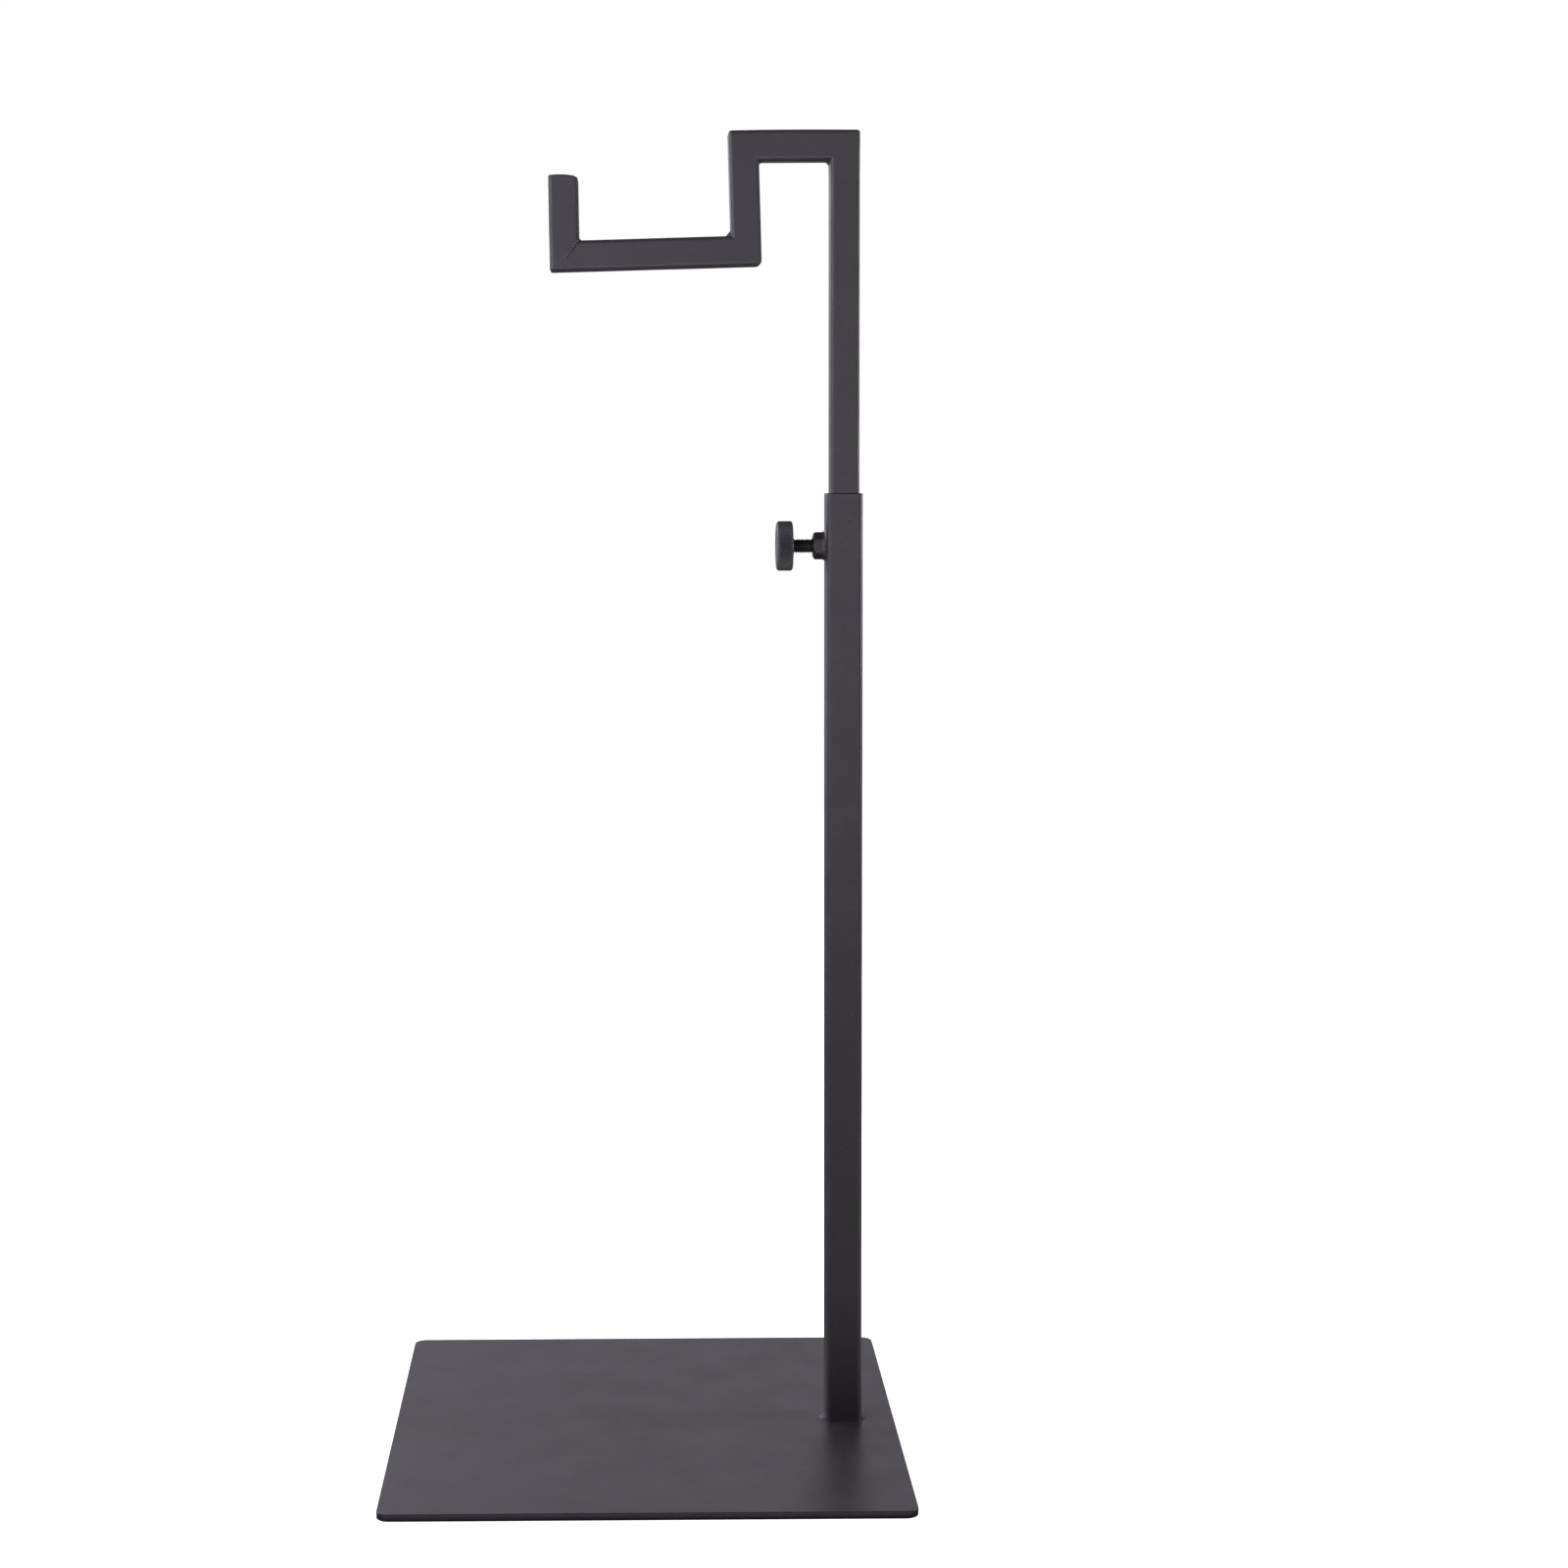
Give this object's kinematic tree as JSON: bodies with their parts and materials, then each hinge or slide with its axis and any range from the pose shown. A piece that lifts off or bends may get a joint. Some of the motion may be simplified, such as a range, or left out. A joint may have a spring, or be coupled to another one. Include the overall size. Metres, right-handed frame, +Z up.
{
  "type": "adjustable display stand",
  "caption": "Height-adjustable display stand: a square post on a flat plate, a telescoping upper post locked by a knurled thumbscrew, and a mitred square-bar hook for a bag or strap.",
  "frame": {"origin": "centre of the base plate's underside, on the surface that the stand rests on", "axes": "+Z up along the posts, +X toward the post's side of the plate, -X toward the hook's tip, -Y toward the front"},
  "size_m": [0.21, 0.21, 0.5395],
  "materials": {
    "powder_coat": "matte black powder coat, fine grain",
    "weld_coat": "powder coat over a weld bead, slightly rippled",
    "blackened_steel": "black oxide, satin",
    "knurled_steel": "black oxide, knurled"
  },
  "bodies": {
    "stand": {"base_plate": "powder_coat", "outer_tube": "powder_coat", "foot_weld_left": "weld_coat", "foot_weld_right": "weld_coat", "clamp_nut": "powder_coat", "nut_weld": "weld_coat"},
    "hook": {"inner_post": "powder_coat", "top_bar": "powder_coat", "riser_bar": "powder_coat", "hook_bar": "powder_coat", "hook_tip": "powder_coat", "tip_cap": "powder_coat", "weld_post_top": "weld_coat", "weld_top_riser": "weld_coat", "weld_riser_hook": "weld_coat", "weld_hook_tip": "weld_coat"},
    "screw": {"screw_stud": "blackened_steel"},
    "knob": {"screw_head": "knurled_steel"}
  },
  "joints": [
    {"name": "height_slide", "type": "slide", "parent": "stand", "child": "hook", "axis": [0, 0, 1], "range_m": [-0.13, 0.108]},
    {"name": "screw_feed", "type": "slide", "parent": "stand", "child": "screw", "axis": [-1, 0, 0], "range_m": [0, 0.003]},
    {"name": "knob_turn", "type": "hinge", "parent": "screw", "child": "knob", "pos_m": [0.0593, 0, 0.3715], "axis": [-1, 0, 0], "range_deg": [0, 1083]}
  ],
  "couplings": [
    {"joint": "knob_turn", "follows": "screw_feed", "rad_per_m": 6283.2}
  ]
}
